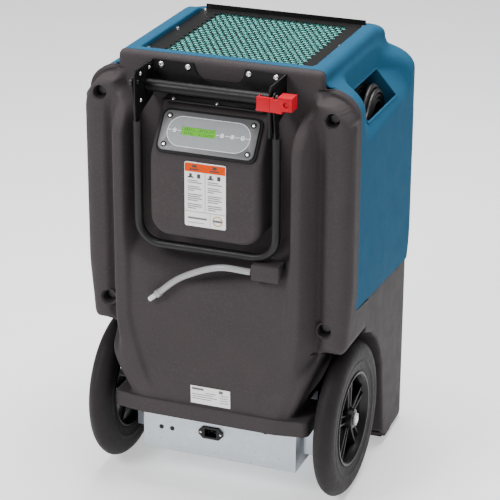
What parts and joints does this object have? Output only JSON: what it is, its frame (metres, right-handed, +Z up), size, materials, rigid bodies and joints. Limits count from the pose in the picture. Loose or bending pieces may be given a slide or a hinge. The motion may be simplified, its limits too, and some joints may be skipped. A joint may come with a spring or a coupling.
{
  "type": "dehumidifier",
  "caption": "Upright commercial dehumidifier on two large wheels, with a folding handle, sloped control panel, top air inlet and rear outlet.",
  "frame": {"origin": "on the floor, under the centre of the machine's bounding box", "axes": "+Z up, the front with the control panel faces -Y, +X to the right seen from the front"},
  "size_m": [0.514, 0.508, 0.84],
  "materials": {
    "moulded_grey": "fine moulded texture",
    "moulded_blue": "fine moulded texture",
    "black_coat": "satin powder coat",
    "zinc": "zinc plated sheet",
    "steel": "plated fastener",
    "tyre_rubber": "matt",
    "black_rubber": "matt",
    "black_plastic": "satin",
    "panel_silver": "satin overlay",
    "display_green": "backlit window",
    "key_white": "satin",
    "latch_red": "gloss",
    "filter_teal": "open mesh",
    "hose_clear": "braided translucent tube",
    "aluminium": "finned",
    "board_green": "solder mask"
  },
  "bodies": {
    "machine": {"front_housing": "moulded_grey", "upper_rear_housing": "moulded_blue", "lower_rear_housing": "moulded_grey", "rear_foot_pad_left": "black_rubber", "rear_foot_pad_right": "black_rubber", "control_pod": "moulded_grey", "panel_gasket": "black_rubber", "control_panel": "panel_silver", "display_window": "display_green", "handle_bracket": "black_coat", "lift_bar": "black_coat", "handle_pivot_bolt_left": "steel", "handle_pivot_bolt_right": "steel", "latch_keeper": "latch_red", "base_box": "zinc", "power_inlet": "black_plastic", "axle": "steel", "axle_bracket_left": "zinc", "axle_bracket_right": "zinc", "axle_nut_left": "steel", "axle_nut_right": "steel", "inlet_grille": "black_coat", "air_filter": "filter_teal", "exhaust_grille": "black_plastic", "fan_shroud": "black_plastic", "fan_motor": "black_coat", "evaporator_coil": "aluminium", "condenser_coil": "aluminium", "drain_pan": "black_plastic", "compressor": "black_coat", "condensate_pump": "black_plastic", "control_board": "board_green", "hose_port": "moulded_grey", "drain_hose": "hose_clear", "hose_fitting": "key_white", "cord_coil": "black_rubber", "cord_plug": "black_rubber", "cord_connector": "black_rubber", "corner_bolt_upper_left": "steel", "corner_bolt_upper_right": "steel", "corner_bolt_lower_left": "steel", "corner_bolt_lower_right": "steel", "bracket_screw_1": "steel", "bracket_screw_2": "steel", "bracket_screw_3": "steel", "bracket_screw_4": "steel"},
    "handle": {"handle_loop": "black_coat", "handle_arm_left": "black_coat", "handle_arm_right": "black_coat"},
    "latch": {"latch": "latch_red"},
    "wheel_left": {"tyre_left": "tyre_rubber", "rim_left": "black_plastic"},
    "wheel_right": {"tyre_right": "tyre_rubber", "rim_right": "black_plastic"},
    "fan": {"fan_rotor": "black_plastic"},
    "key_power": {"key_power": "key_white"},
    "key_left": {"key_left": "key_white"},
    "key_middle": {"key_middle": "key_white"},
    "key_right": {"key_right": "key_white"}
  },
  "joints": [
    {"name": "handle_pivot", "type": "hinge", "parent": "machine", "child": "handle", "pos_m": [0, -0.236, 0.808], "axis": [-1, 0, 0], "range_deg": [0, 160]},
    {"name": "latch_slide", "type": "slide", "parent": "handle", "child": "latch", "axis": [1, 0, 0], "range_m": [0, 0.008], "stiffness_N_per_m": 300, "springref_m": -0.005},
    {"name": "wheel_left_spin", "type": "hinge", "parent": "machine", "child": "wheel_left", "pos_m": [-0.224, -0.091, 0.149], "axis": [1, 0, 0], "continuous": true},
    {"name": "wheel_right_spin", "type": "hinge", "parent": "machine", "child": "wheel_right", "pos_m": [0.224, -0.091, 0.149], "axis": [1, 0, 0], "continuous": true},
    {"name": "fan_spin", "type": "hinge", "parent": "machine", "child": "fan", "pos_m": [0, 0.2, 0.585], "axis": [0, 1, 0], "continuous": true},
    {"name": "key_power_press", "type": "slide", "parent": "machine", "child": "key_power", "axis": [0, 0.807, -0.5906], "range_m": [0, 0.0005], "stiffness_N_per_m": 400, "springref_m": -0.001},
    {"name": "key_left_press", "type": "slide", "parent": "machine", "child": "key_left", "axis": [0, 0.807, -0.5906], "range_m": [0, 0.0005], "stiffness_N_per_m": 400, "springref_m": -0.001},
    {"name": "key_middle_press", "type": "slide", "parent": "machine", "child": "key_middle", "axis": [0, 0.807, -0.5906], "range_m": [0, 0.0005], "stiffness_N_per_m": 400, "springref_m": -0.001},
    {"name": "key_right_press", "type": "slide", "parent": "machine", "child": "key_right", "axis": [0, 0.807, -0.5906], "range_m": [0, 0.0005], "stiffness_N_per_m": 400, "springref_m": -0.001}
  ]
}
